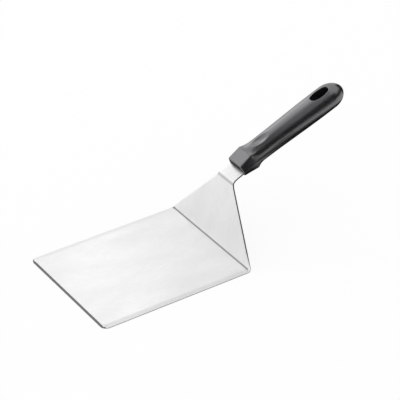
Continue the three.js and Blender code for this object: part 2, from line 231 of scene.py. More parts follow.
class FinishSettings(bpy.types.PropertyGroup):
    """Colours, roughness and gloss of the steel and the plastic"""

    steel: colour("Steel", "Colour of the brushed faces", (0.93, 0.93, 0.93))
    steel_streaks: colour("Steel streaks", "Colour of the darker streaks of the grain", (0.85, 0.85, 0.85))
    steel_patches: colour("Steel patches", "Colour of the faintly duller patches", (0.82, 0.82, 0.82))
    steel_roughness: factor("Steel roughness", "Roughness of the brushed faces", 0.36)
    ground_steel: colour("Ground steel", "Colour of the ground bevels", (0.88, 0.88, 0.88))
    # Painted shade: a dark line inside each bend and a faint darkening of the neck, standing in for the
    # shade and dark reflections there
    bend_shade_colour: colour("Press mark", "Colour of the dull line inside a bend", (0.2, 0.2, 0.207))
    steel_anisotropy: factor("Steel anisotropy", "How much the grain stretches reflections", 0.6)
    # The cut edges are rougher real cut steel, painted far darker as the shade and dark reflections along
    # the edges
    shaded_cut_edge: colour("Cut edge", "Colour of the sheet's cut edges", (0.2, 0.2, 0.203))
    shaded_cut_edge_streaks: colour("Cut edge streaks", "Colour of the marks along cut edges", (0.13, 0.13, 0.132))
    plastic: colour("Plastic", "Colour of the moulded handle", (0.008, 0.008, 0.0085))
    plastic_flecks: colour("Plastic flecks", "Colour of the texture's raised flecks", (0.014, 0.014, 0.0145))
    plastic_roughness: factor("Plastic roughness", "Roughness of the moulded skin", 0.3)
    plastic_gloss: factor("Plastic gloss", "Specular level of the moulded skin", 0.94)
    plastic_tint: colour("Plastic tint", "Tint of the moulded skin's reflections", (0.97, 0.97, 1.0))
    # The slot's wall and the collar's front face are a rougher moulded face, made nearly unreflective as
    # painted shade in the slot and on the front face
    dull_roughness: factor("Dull roughness", "Roughness of the slot's wall and the front face", 0.57)
    shaded_face_gloss: factor("Dull gloss", "Specular level of the slot's wall and the front face", 0.05)


class StageSettings(bpy.types.PropertyGroup):
    """Studio floor, light and camera"""

    floor: colour("Floor", "Colour of the floor", (0.95, 0.95, 0.95))
    floor_glow: factor("Floor glow", "Share of plain white that the camera sees in the floor", 0.85)
    ambient: factor("Ambient", "Strength of the even light from all around", 0.95, 4)
    key_radiance: factor("Key light", "Brightness of the tall soft box behind the handle", 1.08, 20)
    left_radiance: factor("Left light", "Brightness of the soft box beyond the front edge", 0.9, 20)
    collar_radiance: factor("Collar light", "Brightness of the soft box above the neck", 1.9, 20)
    top_radiance: factor("Top light", "Brightness of the soft box high behind the handle", 1.35, 20)
    blade_radiance: factor("Blade light", "Brightness of the strip that the blade reflects", 0.34, 20)
    azimuth: angle("Azimuth", "Camera's turn around the object", -35.1151)
    elevation: angle("Elevation", "Camera's height over the horizon", 33.7673)
    roll: angle("Roll", "Camera's turn about its own view", 1.0915)
    aim: FloatVectorProperty(
        name="Aim", description="Point in the middle of the picture", default=(0.07606, 0.01973, 0.03037),
        size=3, precision=5, subtype="XYZ", unit="LENGTH",
    )
    distance: size("Distance", "Camera to the aim", 1748.69)
    lens: FloatProperty(name="Lens", description="Focal length, in millimetres", default=177.686, min=1)


def mix(a, b, share):
    """The value a share of the way from a to b."""
    return a + (b - a) * share


def smooth_share(value, low, high):
    """How far value is from low to high, eased at both ends. Takes numbers and arrays."""
    share = np.clip((value - low) / (high - low), 0, 1)
    return share * share * (3 - 2 * share)


def rounded_line(corners):
    """Points of the line through corners of x, y and radius, with an arc where there is a radius."""
    points = []
    for i, (x, y, radius) in enumerate(corners):
        here = Vector((x, y))
        if not radius:
            points.append(here)
            continue
        to_last = Vector(corners[i - 1][:2]) - here
        to_next = Vector(corners[i + 1][:2]) - here
        half_angle = to_last.angle(to_next) / 2
        setback = min(radius / math.tan(half_angle), to_last.length / 2, to_next.length / 2)
        fitted_radius = setback * math.tan(half_angle)
        inward = (to_last.normalized() + to_next.normalized()).normalized()
        centre = here + inward * (fitted_radius / math.sin(half_angle))
        start = here + to_last.normalized() * setback - centre
        turn = math.copysign(math.pi - 2 * half_angle, to_next.cross(to_last))
        for k in range(ARC_STEPS + 1):
            points.append(centre + Matrix.Rotation(turn * k / ARC_STEPS, 2) @ start)
    return points


class BentSheet:
    """The middle of the steel sheet and its flat pattern, by the distance from the front edge."""

    def __init__(self, blade, handle):
        self.start = Vector((-blade.length / 2, 0, blade.thickness / 2))
        slot_start = handle.length - handle.slot_to_tail - handle.slot_length
        tang_length = slot_start - blade.tang_to_slot
        neck_turn = blade.neck_angle - blade.shoulder_angle
        shoulder_radius = blade.shoulder_bend_radius + blade.thickness / 2
        neck_radius = blade.neck_bend_radius + blade.thickness / 2
        shoulder_setback = shoulder_radius * math.tan(blade.shoulder_angle / 2)
        neck_setback = neck_radius * math.tan(-neck_turn / 2)
        self.runs = [
            (blade.length - shoulder_setback, 0),
            (shoulder_radius * blade.shoulder_angle, blade.shoulder_angle),
            (blade.shoulder_length - shoulder_setback - neck_setback, 0),
            (neck_radius * -neck_turn, neck_turn),
            (blade.neck_length - neck_setback + tang_length, 0),
        ]
        ends = np.cumsum([run_length for run_length, turn in self.runs]).tolist()
        self.shoulder_bend = (ends[0], ends[1])
        self.neck_bend = (ends[2], ends[3])
        self.neck_bend_middle = (ends[2] + ends[3]) / 2
        self.end = ends[4]
        self.collar_face = self.end - tang_length
        taper_start = self.collar_face + blade.tang_full_depth
        self.pattern = rounded_line([
            (0, 0, 0),
            (0, blade.width / 2, blade.front_corner_radius),
            ((ends[0] + ends[1]) / 2, blade.width / 2, blade.rear_corner_radius),
            (self.neck_bend_middle, blade.neck_bend_width / 2, blade.neck_fillet_radius),
            (self.collar_face, blade.neck_collar_width / 2, 0),
            (taper_start, blade.neck_collar_width / 2, 0),
            (taper_start + blade.tang_taper, blade.tang_width / 2, 0),
            (self.end, blade.tang_width / 2, blade.tang_corner_radius),
            (self.end, 0, 0),
        ])[1:-1]

    def frame(self, distance):
        """Place of the sheet's middle, and the directions along it and up from it."""
        place = self.start.copy()
        heading = 0
        left = distance
        for run_length, turn in self.runs:
            step = min(left, run_length)
            half = turn * step / run_length / 2
            chord = step * math.sin(half) / half if half else step
            place += Vector((math.cos(heading + half), 0, math.sin(heading + half))) * chord
            heading += 2 * half
            left -= step
        along = Vector((math.cos(heading), 0, math.sin(heading)))
        return place, along, Vector((-along.z, 0, along.x))

    def half_width(self, distance):
        """Half the sheet's width at a distance."""
        return float(np.interp(distance, [p.x for p in self.pattern], [p.y for p in self.pattern]))


def sheet_stations(blade, sheet):
    """Distances at which the sheet's section is drawn, close together where its shape changes."""
    radius = blade.edge_radius
    bevel_end = sheet.shoulder_bend[1] + blade.bevel_fade
    marks = [point.x for point in sheet.pattern] + [blade.front_bevel_width, bevel_end]
    marks += [radius * (1 - math.cos(math.pi / 2 * k / EDGE_STEPS)) for k in range(EDGE_STEPS + 1)]
    for start, end in (sheet.shoulder_bend, sheet.neck_bend):
        marks += np.linspace(start, end, BEND_STEPS + 1).tolist()
        marks += np.linspace(start - BEND_SHADE_LEAD, start, EDGE_STEPS + 1).tolist()
    stations = [0.0]
    for mark in sorted(marks):
        gap = mark - stations[-1]
        if gap < LEAST_SHEET_STEP:
            continue
        steps = math.ceil(gap / LONGEST_SHEET_STEP)
        stations += np.linspace(stations[-1], mark, steps + 1).tolist()[1:]
    return stations


def sheet_section(blade, sheet, distance):
    """Half a section from the middle of the underside round the edge to the middle of the top.

    Each point is its place across, its height over the sheet's middle and how much it is ground."""
    half_width = sheet.half_width(distance)
    radius = blade.edge_radius
    full_drop = blade.thickness - blade.edge_thickness
    fade = min(max(1 - (distance - sheet.shoulder_bend[1]) / blade.bevel_fade, 0), 1)
    drop = full_drop * fade
    bevel_width = min(blade.bevel_width, half_width / 2)
    soft = blade.bevel_softness * bevel_width / blade.bevel_width
    bevel_start = half_width - bevel_width
    near_front = max(radius - distance, 0)
    front_rounding = radius - math.sqrt(radius * radius - near_front * near_front)
    chamfer = full_drop * max(1 - distance / blade.front_bevel_width, 0)
    bottom = -blade.thickness / 2 + front_rounding

    def top(across):
        past = across - bevel_start
        if past < soft:
            past = max(past + soft, 0) ** 2 / (4 * soft)
        ground = drop * past / bevel_width
        return blade.thickness / 2 - max(ground, chamfer) - front_rounding, fade * min(past / soft, 1)

    edge = half_width - radius
    points = [(edge * k / ACROSS_STEPS, bottom, 0) for k in range(ACROSS_STEPS + 1)]
    for k in range(1, EDGE_STEPS + 1):
        turn = math.pi / 2 * (k / EDGE_STEPS - 1)
        points.append((edge + radius * math.cos(turn), bottom + radius * (1 + math.sin(turn)), 0))
    for k in range(EDGE_STEPS):
        turn = math.pi / 2 * k / EDGE_STEPS
        points.append((edge + radius * math.cos(turn), top(edge)[0] - radius * (1 - math.sin(turn)), 0))
    ridge = [bevel_start + soft * share for share in RIDGE_SHARES]
    on_bevel = np.linspace(edge, ridge[0], BEVEL_STEPS + 1).tolist()[:-1]
    on_top = np.linspace(ridge[-1], 0, ACROSS_STEPS + 1).tolist()[1:]
    for across in [*on_bevel, *ridge, *on_top]:
        points.append((across, *top(across)))
    return points


def new_piece(name, data):
    """A new object for a mesh, lamp or camera, in the scene's own collection."""
    piece = bpy.data.objects.new(name, data)
    bpy.context.scene.collection.objects.link(piece)
    return piece


def mesh_from(name, vertices, faces):
    """A mesh whose faces all point outwards."""
    mesh = bpy.data.meshes.new(name)
    mesh.from_pydata([tuple(v) for v in vertices], [], faces)
    work = bmesh.new()
    work.from_mesh(mesh)
    bmesh.ops.recalc_face_normals(work, faces=work.faces)
    work.to_mesh(mesh)
    work.free()
    return mesh


def band_faces(loops):
    """Faces between each closed loop of vertex numbers and the next, which has equally many."""
    faces = []
    for first, second in zip(loops, loops[1:]):
        for i in range(len(first)):
            after = (i + 1) % len(first)
            faces.append((first[i], first[after], second[after], second[i]))
    return faces


def cut_away(piece, cutter):
    """Cuts the cutter's shape out of a piece, and deletes the cutter."""
    modifier = piece.modifiers.new("cut", "BOOLEAN")
    modifier.operation = "DIFFERENCE"
    modifier.solver = "EXACT"
    modifier.object = cutter
    depsgraph = bpy.context.evaluated_depsgraph_get()
    mesh = bpy.data.meshes.new_from_object(piece.evaluated_get(depsgraph))
    piece.modifiers.clear()
    piece.data = mesh
    bpy.data.objects.remove(cutter)


def lock_rods(blade, sheet, diameter, height):
    """Round rods square to the tang at its lock holes, as objects.

    They are turned by half a side, so that no corner lies on the sheet's middle line."""
    rods = []
    for place in (
        sheet.collar_face + blade.first_lock_hole_depth,
        sheet.end - blade.last_lock_hole_to_end,
    ):
        middle, along, up = sheet.frame(place)
        side = up.cross(along)
        turns = [2 * math.pi * (k + 0.5) / ROD_SIDES for k in range(ROD_SIDES)]
        spokes = [(along * math.cos(turn) + side * math.sin(turn)) * diameter / 2 for turn in turns]
        corners = [middle + up * end * height / 2 + spoke for end in (-1, 1) for spoke in spokes]
        low = list(range(ROD_SIDES))
        high = [ROD_SIDES + k for k in low]
        mesh = mesh_from("rod", corners, [*band_faces([low, high]), low, high])
        rods.append(new_piece("rod", mesh))
    return rods


def bend_shade_share(sheet, distance):
    """How much painted shade a bend leaves at a distance along the sheet, with a faint painted shade over
    the neck.
    """
    share = 0.0
    for bend, mark in ((sheet.shoulder_bend, SHOULDER_BEND_SHADE), (sheet.neck_bend, NECK_BEND_SHADE)):
        peak, strength = mark
        start = bend[0] - BEND_SHADE_LEAD
        end = bend[1]
        top = mix(start, end, peak)
        if start < distance < end:
            rise = (distance - start) / (top - start)
            fall = (end - distance) / (end - top)
            share = strength * float(smooth_share(min(rise, fall), 0, 1))
    return max(share, NECK_PAINTED_SHADE) if distance > sheet.neck_bend_middle else share


def make_sheet(blade, sheet):
    """The bent sheet with ground sides, a map of its flat pattern, and the shares ground and of painted bend
    shade.
    """
    vertices = []
    flat_places = []
    from_sides = []
    ground = []
    painted_bend_shade = []
    rings = []
    for distance in sheet_stations(blade, sheet):
        middle, along, up = sheet.frame(distance)
        half_width = sheet.half_width(distance)
        mark = bend_shade_share(sheet, distance)
        half = sheet_section(blade, sheet, distance)
        other_half = [(-across, height, share) for across, height, share in half[-2:0:-1]]
        ring = half + other_half
        rings.append(list(range(len(vertices), len(vertices) + len(ring))))
        for across, height, share in ring:
            vertices.append(middle + up * height + Vector((0, across, 0)))
            flat_places.append((across, distance))
            from_sides.append(half_width - abs(across))
            ground.append(share)
            # The painted bend shade runs out on the near bevel, at -Y, and goes on over the far one
            on_near_bevel = 1 - (half_width + across) / blade.bevel_width if share else 0
            painted_bend_shade.append(mark * (1 - float(smooth_share(on_near_bevel, *BEND_SHADE_FADE))))
    mesh = mesh_from("steel_blade", vertices, [rings[0], rings[-1], *band_faces(rings)])
    flat_map = mesh.uv_layers.new(name=FLAT_MAP)
    for loop in mesh.loops:
        flat_map.uv[loop.index].vector = flat_places[loop.vertex_index]
    mesh.attributes.new("ground", "FLOAT", "POINT").data.foreach_set("value", ground)
    mesh.attributes.new("painted_bend_shade", "FLOAT", "POINT").data.foreach_set("value", painted_bend_shade)
    # Cut steel, painted darker as the shade and dark reflections along the edges, shows on edges steeper
    # than
    # 45 degrees and on the front bevel, which runs on around half of each corner
    front_end = blade.front_bevel_width + LEAST_SHEET_STEP
    corner_end = blade.front_corner_radius / 2
    for polygon in mesh.polygons:
        upright = abs(polygon.normal.y) > math.sqrt(0.5)
        distance = max(flat_places[v][1] for v in polygon.vertices)
        from_side = max(from_sides[v] for v in polygon.vertices)
        at_corner = distance < corner_end and from_side < front_end
        polygon.material_index = 1 if upright or at_corner or distance < front_end else 0
    return new_piece("steel_blade", mesh)


def grip_oval(handle, place):
    """Half width and half height of the oval grip at places along the axis."""
    share = smooth_share(
        place, handle.collar_length + handle.flare_length, handle.length - handle.belly_to_tail
    )
    tail_start = handle.length - handle.tail_rounding_length
    rounding = np.clip((place - tail_start) / handle.tail_rounding_length, 0, 1)
    taper = np.sqrt(1 - rounding * rounding)
    half_width = taper * (mix(handle.waist_width, handle.belly_width, share) / 2 - handle.skin_inset)
    half_height = taper * (mix(handle.waist_height, handle.belly_height, share) / 2 - handle.skin_inset)
    return half_width, half_height


def collar_section(handle, eighths, top, bottom, side_height):
    """The six-sided collar's y and z at eighths of a turn from its side edge."""
    fold = 2 - np.abs(np.abs(eighths) - 2)
    side = np.where(np.abs(eighths) > 2, -1, 1)
    ridge = np.where(eighths > 0, top, -bottom)
    on_flank = fold <= 1
    flank_y = mix(handle.collar_side_half_width, handle.collar_ridge_half_width, fold)
    y = side * np.where(on_flank, flank_y, handle.collar_ridge_half_width * (2 - fold))
    z = np.where(on_flank, mix(side_height, ridge, fold), ridge)
    return y, z


def smoothed(values, rounds, axis, closed):
    """Values averaged with their neighbours along an axis. Open ends stay as they are."""
    for _ in range(rounds):
        mean = (np.roll(values, 1, axis) + 2 * values + np.roll(values, -1, axis)) / 4
        if not closed:
            mean[0] = values[0]
            mean[-1] = values[-1]
        values = mean
    return values


def handle_sections(handle, places):
    """y and z of the handle's rings, row by row, and the lean of each row."""
    place = np.asarray(places)[:, None]
    eighths = np.linspace(-4, 4, SECTION_POINTS, endpoint=False)[None, :]
    half_width, half_height = grip_oval(handle, place)
    rise = np.clip(place / handle.collar_length, 0, 1)
    flare = np.clip((place - handle.collar_length) / handle.flare_length, 0, 1)
    facets = (1 - flare) ** 2
    strip = handle.axis_above_strip
    top = mix(handle.collar_front_above_strip - strip, handle.collar_rear_above_axis, rise)
    bottom = mix(handle.collar_front_below_strip + strip, handle.collar_rear_below_axis, rise)
    facet_y, facet_z = collar_section(handle, eighths, top, bottom, mix(-strip, 0, rise))
    turn = eighths * math.pi / 4
    y = mix(half_width * np.cos(turn), facet_y, facets)
    z = mix(half_height * np.sin(turn), facet_z, facets)
    lean = mix(handle.tilt, handle.collar_rear_lean, rise) * (1 - flare)
    return smoothed(y, SECTION_SMOOTHING, 1, True), smoothed(z, SECTION_SMOOTHING, 1, True), lean


def handle_places(handle):
    """Places of the skin's rings along the axis, from the collar's rim to close before the tip."""
    tail_start = handle.length - handle.tail_rounding_length
    start = handle.collar_rim_radius
    straight = np.linspace(start, tail_start, math.ceil((tail_start - start) / SKIN_STEP))
    tail = np.arange(1, TAIL_STEPS) * math.pi / 2 / TAIL_STEPS
    return np.concatenate([straight, tail_start + handle.tail_rounding_length * np.sin(tail)])


def collar_rim(handle):
    """Rings of the rounded rim around the collar's front face, from the face to the skin."""
    radius = handle.collar_rim_radius
    turns = np.linspace(math.pi / 2, 0, RIM_STEPS, endpoint=False)
    y, z, lean = handle_sections(handle, radius * (1 - np.sin(turns)))
    across = np.roll(y, -1, 1) - np.roll(y, 1, 1)
    upward = np.roll(z, -1, 1) - np.roll(z, 1, 1)
    span = np.hypot(across, upward)
    inset = (radius * (1 - np.cos(turns)))[:, None]
    y = y - inset * upward / span
    z = z + inset * across / span
    return (radius * (1 - np.sin(turns)))[:, None] - z * np.tan(lean), y, z


def press_dish(handle, x, y, z):
    """Heights of the skin with the thumb dish pressed into its top, over a soft rim."""
    place = handle.collar_length + handle.dish_behind_ridge + handle.dish_length / 2
    half_width, half_height = grip_oval(handle, place)
    rim = half_height * math.sqrt(1 - (handle.dish_width / 2 / half_width) ** 2)
    floor = rim - handle.dish_depth
    crown_depth = half_height - floor
    curve_along = ((handle.dish_length / 2) ** 2 + crown_depth ** 2) / (2 * crown_depth)
    curve_across = ((handle.dish_width / 2) ** 2 + handle.dish_depth ** 2) / (2 * handle.dish_depth)
    bowl = ((x - place) ** 2 / curve_along + y ** 2 / curve_across) / half_height
    dish = floor + half_height * (1 - np.sqrt(np.clip(1 - bowl, 0, 1)))
    soft = handle.dish_softness
    share = np.clip(0.5 + 0.5 * (dish - z) / soft, 0, 1)
    painted_bend_shade = mix(dish, z, share) - soft * share * (1 - share)
    return np.where((z > 0) & (bowl < 1), painted_bend_shade, z)


def slot_rays(handle, corners):
    """Rays from the centres of the slot's arcs to corners of the skin around it.

    Gives each ray's centre, its arc's radius, its direction and the corner's distance."""
    end_radius = handle.slot_width / 2 - handle.slot_bow
    end_place = handle.slot_length / 2 - end_radius
    side_offset = (end_place ** 2 - handle.slot_bow ** 2) / (2 * handle.slot_bow)
    side_radius = side_offset + handle.slot_width / 2
    slot_place = handle.length - handle.slot_to_tail - handle.slot_length / 2
    ahead = corners[:, 0] - slot_place
    across = corners[:, 1]
    on_side = np.abs(ahead) * side_offset < end_place * (np.abs(across) + side_offset)
    centre_x = np.where(on_side, slot_place, slot_place + np.sign(ahead) * end_place)
    centre_y = np.where(on_side, -np.sign(across) * side_offset, 0)
    centres = np.stack([centre_x, centre_y], 1)
    rays = corners[:, :2] - centres
    distance = np.hypot(*rays.T)
    return centres, np.where(on_side, side_radius, end_radius), rays / distance[:, None], distance


class HandleSkin:
    """Vertices and faces of the handle in its own frame, X along the axis."""

    def __init__(self, handle):
        self.handle = handle
        self.vertices = []
        self.faces = []
        self.rows = []
        self.slot_rows = (0, 0)
        self.slot_columns = 0
        self.shaded_dull_faces = []

    def add(self, points):
        """Adds points and gives their numbers."""
        first = len(self.vertices)
        self.vertices += [tuple(float(c) for c in p) for p in points]
        return list(range(first, len(self.vertices)))

    def lay_skin(self):
        """The rings of the skin, with a rectangle left open above and below the hanging slot."""
        handle = self.handle
        places = handle_places(handle)
        y, z, lean = handle_sections(handle, places)
        collar = places < handle.collar_length + handle.flare_length
        y[collar] = smoothed(y[collar], LENGTH_SMOOTHING, 0, False)
        z[collar] = smoothed(z[collar], LENGTH_SMOOTHING, 0, False)
        x = places[:, None] - z * np.tan(lean)
        z = press_dish(handle, x, y, z)
        self.rows = [self.add(np.stack(row, 1)) for row in zip(x, y, z)]
        slot_end = handle.length - handle.slot_to_tail
        reach = handle.slot_margin
        low, high = np.searchsorted(places, (slot_end - handle.slot_length - reach, slot_end + reach))
        half_width = float(grip_oval(handle, slot_end - handle.slot_length / 2)[0])
        eighths = math.asin((handle.slot_width / 2 + reach) / half_width) * 4 / math.pi
        self.slot_rows = (int(low), int(high))
        self.slot_columns = round(eighths * POINTS_PER_EIGHTH)
        for i, face in enumerate(band_faces(self.rows)):
            row, column = divmod(i, SECTION_POINTS)
            nearest = min(abs(column + 0.5 - middle) for middle in (BOTTOM_POINT, TOP_POINT))
            if not (low <= row < high and nearest < self.slot_columns):
                self.faces.append(face)

    def close_ends(self):
        """The tip of the tail, and the collar's rounded rim and flat front face."""
        tip = self.add([(self.handle.length, 0, 0)])[0]
        last = self.rows[-1]
        self.faces += [(last[k], last[(k + 1) % len(last)], tip) for k in range(len(last))]
        rim_rows = [self.add(np.stack(row, 1)) for row in zip(*collar_rim(self.handle))]
        self.faces += band_faces([*rim_rows, self.rows[0]])
        # The flat front face gets the dull plastic, which partly paints shade there
        self.shaded_dull_faces.append(len(self.faces))
        self.faces.append(rim_rows[0])

    def line_slot(self):
        """The skin around the hanging slot, its rounded rims and its wall."""
        handle = self.handle
        low, high = self.slot_rows
        wide = self.slot_columns
        # Rows and columns of the open rectangle's border, once around it
        border = [(row, wide) for row in range(low, high)]
        border += [(high, k) for k in range(wide, -wide, -1)]
        border += [(row, -wide) for row in range(high, low, -1)]
        border += [(low, k) for k in range(-wide, wide)]
        rim = handle.slot_rim_radius
        edges = []
        for side, middle in ((1, TOP_POINT), (-1, BOTTOM_POINT)):
            outer = [self.rows[row][middle + side * k] for row, k in border]
            corners = np.array([self.vertices[v] for v in outer])
            centres, radius, rays, distance = slot_rays(handle, corners)

            def loop(out, depth):
                """A loop around the slot, a way outside its outline and a depth under the skin."""
                x, y = (centres + (radius + out)[:, None] * rays).T
                half_width, half_height = grip_oval(handle, x)
                height = half_height * np.sqrt(1 - (y / half_width) ** 2) - depth
                return self.add(np.stack([x, y, side * height], 1))

            loops = [outer]
            for share in np.linspace(1, 0, PATCH_STEPS + 1)[1:]:
                loops.append(loop(mix(rim, distance - radius, share), 0))
            for turn in np.linspace(math.pi / 2, 0, RIM_STEPS + 1)[1:]:
                loops.append(loop(rim * (1 - math.cos(turn)), rim * (1 - math.sin(turn))))
            self.faces += band_faces(loops)
            edges.append(loops[-1])
        ends = [np.array([self.vertices[v] for v in edge]) for edge in edges]
        wall = [edges[0]]
        for share in np.linspace(0, 1, SLOT_WALL_STEPS + 1)[1:-1]:
            wall.append(self.add(mix(ends[0], ends[1], share)))
        wall.append(edges[1])
        # The slot's wall gets the dull plastic, which paints the shade inside the slot
        first_wall_face = len(self.faces)
        self.faces += band_faces(wall)
        self.shaded_dull_faces += range(first_wall_face, len(self.faces))


def handle_matrix(blade, handle, sheet):
    """Where the handle's own frame lies."""
    middle = sheet.frame(sheet.collar_face)[0]
    turn = Matrix.Rotation(handle.tilt - blade.neck_angle, 3, "Y")
    on_axis = Vector((-math.tan(handle.tilt), 0, 1)) * handle.axis_above_strip
    return Matrix.Translation(middle + turn @ on_axis) @ turn.to_4x4()


def pocket_cutter(blade, handle, sheet):
    """The room that the tang takes in the handle, less the plastic that fills its lock holes."""
    half_height = blade.thickness / 2 + handle.moulding_gap
    places = [point.x for point in sheet.pattern if point.x >= sheet.collar_face]
    vertices = []
    rings = []
    for place in [sheet.collar_face - blade.neck_length / 2, *places, sheet.end + handle.moulding_gap]:
        middle, along, up = sheet.frame(min(place, sheet.end))
        middle = middle + along * max(place - sheet.end, 0)
        half_width = sheet.half_width(max(place, sheet.collar_face)) + handle.moulding_gap
        rings.append(list(range(len(vertices), len(vertices) + 4)))
        for across, side in ((1, -1), (1, 1), (-1, 1), (-1, -1)):
            vertices.append(middle + Vector((0, across * half_width, 0)) + up * side * half_height)
    mesh = mesh_from("pocket", vertices, [rings[0], rings[-1], *band_faces(rings)])
    pocket = new_piece("pocket", mesh)
    diameter = blade.lock_hole_diameter - 2 * handle.moulding_gap
    for rod in lock_rods(blade, sheet, diameter, 4 * half_height):
        cut_away(pocket, rod)
    return pocket


def shade(piece, sharp_angle):
    """Smooth shading, apart from edges sharper than an angle."""
    piece.data.polygons.foreach_set("use_smooth", [True] * len(piece.data.polygons))
    piece.data.set_sharp_from_angle(angle=sharp_angle)


class Nodes:
    """A short way to add shader nodes to a material or the world, and to link them."""

    def __init__(self, tree):
        self.tree = tree
        tree.nodes.clear()

    def add(self, kind, inputs=None, **settings):
        """A new node, with its settings, and values or links for its inputs."""
        node = self.tree.nodes.new(kind)
        for name, value in settings.items():
            setattr(node, name, value)
        for name, value in (inputs or {}).items():
            if isinstance(value, bpy.types.NodeSocket):
                self.tree.links.new(value, node.inputs[name])
            else:
                node.inputs[name].default_value = value
        return node

    def noise(self, vector, scale, detail=2.0, roughness=0.5):
        """The grey value of a noise."""
        inputs = {"Vector": vector, "Scale": scale, "Detail": detail, "Roughness": roughness}
        return self.add("ShaderNodeTexNoise", inputs).outputs["Fac"]

    def sheet_noise(self, scale, detail=2.0, roughness=0.5):
        """The grey value of a noise on the flat sheet, with a scale across and a scale along it."""
        flat = self.add("ShaderNodeUVMap", uv_map=FLAT_MAP).outputs["UV"]
        stretched = self.add("ShaderNodeMapping", {"Vector": flat, "Scale": (*scale, 1)})
        return self.noise(stretched.outputs["Vector"], 1.0, detail, roughness)

    def attribute(self, name):
        """A share that the mesh keeps at its points."""
        return self.add("ShaderNodeAttribute", attribute_name=name).outputs["Fac"]

    def calculate(self, operation, *values):
        """The result of a calculation with grey values."""
        return self.add("ShaderNodeMath", dict(enumerate(values)), operation=operation).outputs[0]

    def spread(self, value, start=0.0, end=1.0, low=0.0, high=1.0):
        """A grey value that runs from start to end, spread from low to high."""
        inputs = {"Value": value, "From Min": start, "From Max": end, "To Min": low, "To Max": high}
        return self.add("ShaderNodeMapRange", inputs).outputs["Result"]

    def bump(self, height, strength, depth):
        """The surface's direction, with bumps of a grey value's height."""
        inputs = {"Height": height, "Strength": strength, "Distance": depth}
        return self.add("ShaderNodeBump", inputs).outputs["Normal"]

    def blend(self, share, first, second):
        """A colour between two colours."""
        ends = [c if isinstance(c, bpy.types.NodeSocket) else (*c, 1) for c in (first, second)]
        node = self.add("ShaderNodeMix", {0: share, 6: ends[0], 7: ends[1]}, data_type="RGBA")
        return node.outputs[2]


def new_material(name):
    """A new material, and the maker of its nodes."""
    material = bpy.data.materials.new(name)
    material.use_nodes = True
    return material, Nodes(material.node_tree)


def finish_material(nodes, inputs):
    """The surface shader with its inputs, linked to the material's output."""
    shader = nodes.add("ShaderNodeBsdfPrincipled", inputs)
    nodes.add("ShaderNodeOutputMaterial", {"Surface": shader.outputs["BSDF"]})


def brushed_steel(finish):
    """Stainless steel with a fine grain along the sheet, rougher on the bevels, and painted shade in the
    bends.
    """
    material, nodes = new_material("brushed_steel")
    scratches = nodes.sheet_noise(SCRATCH_SCALE, detail=3.0, roughness=0.6)
    streaks = nodes.sheet_noise(STREAK_SCALE, detail=3.0, roughness=0.55)
    clouds = nodes.sheet_noise(PATCH_SCALE)
    ground = nodes.attribute("ground")
    tone = nodes.spread(nodes.calculate("MULTIPLY", streaks, scratches), start=0.1, end=0.45)
    patches = nodes.spread(clouds, start=0.35, end=0.65, high=0.5)
    colour_here = nodes.blend(tone, finish.steel_streaks, finish.steel)
    colour_here = nodes.blend(patches, colour_here, finish.steel_patches)
    colour_here = nodes.blend(ground, colour_here, finish.ground_steel)
    least = finish.steel_roughness - STEEL_ROUGHNESS_SPREAD
    most = finish.steel_roughness + STEEL_ROUGHNESS_SPREAD
    roughness = nodes.spread(clouds, low=least, high=most)
    tangent = nodes.add("ShaderNodeTangent", direction_type="UV_MAP", uv_map=FLAT_MAP)
    finish_material(nodes, {
        # Painted shade in the bends darkens the steel's colour
        "Base Color": nodes.blend(nodes.attribute("painted_bend_shade"), colour_here, finish.bend_shade_colour),
        "Metallic": 1.0,
        "Roughness": nodes.calculate("MULTIPLY_ADD", ground, GROUND_ROUGHNESS, roughness),
        "Anisotropic": finish.steel_anisotropy,
        "Tangent": tangent.outputs["Tangent"],
        "Normal": nodes.bump(scratches, strength=0.12, depth=0.02 * MM),
    })
    return material


def shaded_cut_steel(finish):
    """The cut edges and front bevel of the sheet, rougher and with marks along them, painted dark as shade
    and dark reflections.
    """
    material, nodes = new_material("shaded_cut_steel")
    grit = nodes.sheet_noise(CUT_MARK_SCALE, detail=3.0, roughness=0.6)
    least, most = CUT_ROUGHNESS
    finish_material(nodes, {
        "Base Color": nodes.blend(grit, finish.shaded_cut_edge_streaks, finish.shaded_cut_edge),
        "Metallic": 1.0,
        "Roughness": nodes.spread(grit, low=least, high=most),
        "Normal": nodes.bump(grit, strength=0.2, depth=0.02 * MM),
    })
    return material


def moulded_plastic(name, finish, mean_roughness, gloss):
    """Black plastic with the fine, even grain of a textured mould."""
    material, nodes = new_material(name)
    place = nodes.add("ShaderNodeTexCoord").outputs["Object"]
    grain = nodes.noise(place, MOULD_GRAIN_SCALE, roughness=0.6)
    flecks = nodes.noise(place, FLECK_SCALE, detail=3.0, roughness=0.6)
    clouds = nodes.noise(place, CLOUD_SCALE)
    tone = nodes.spread(flecks, start=0.45, end=0.75)
    least, most = [mean_roughness + change for change in PLASTIC_ROUGHNESS_SPREAD]
    wear = nodes.calculate("MULTIPLY", clouds, flecks)
    finish_material(nodes, {
        "Base Color": nodes.blend(tone, finish.plastic, finish.plastic_flecks),
        "Roughness": nodes.spread(wear, low=least, high=most),
        "IOR": 1.85,
        "Specular IOR Level": gloss,
        "Specular Tint": (*finish.plastic_tint, 1),
        "Normal": nodes.bump(grain, strength=0.1, depth=0.05 * MM),
    })
    return material


def place_piece(piece, node):
    """Rides a finished piece on the frame, in place of its node."""
    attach(piece, BODY)
    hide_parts(node)


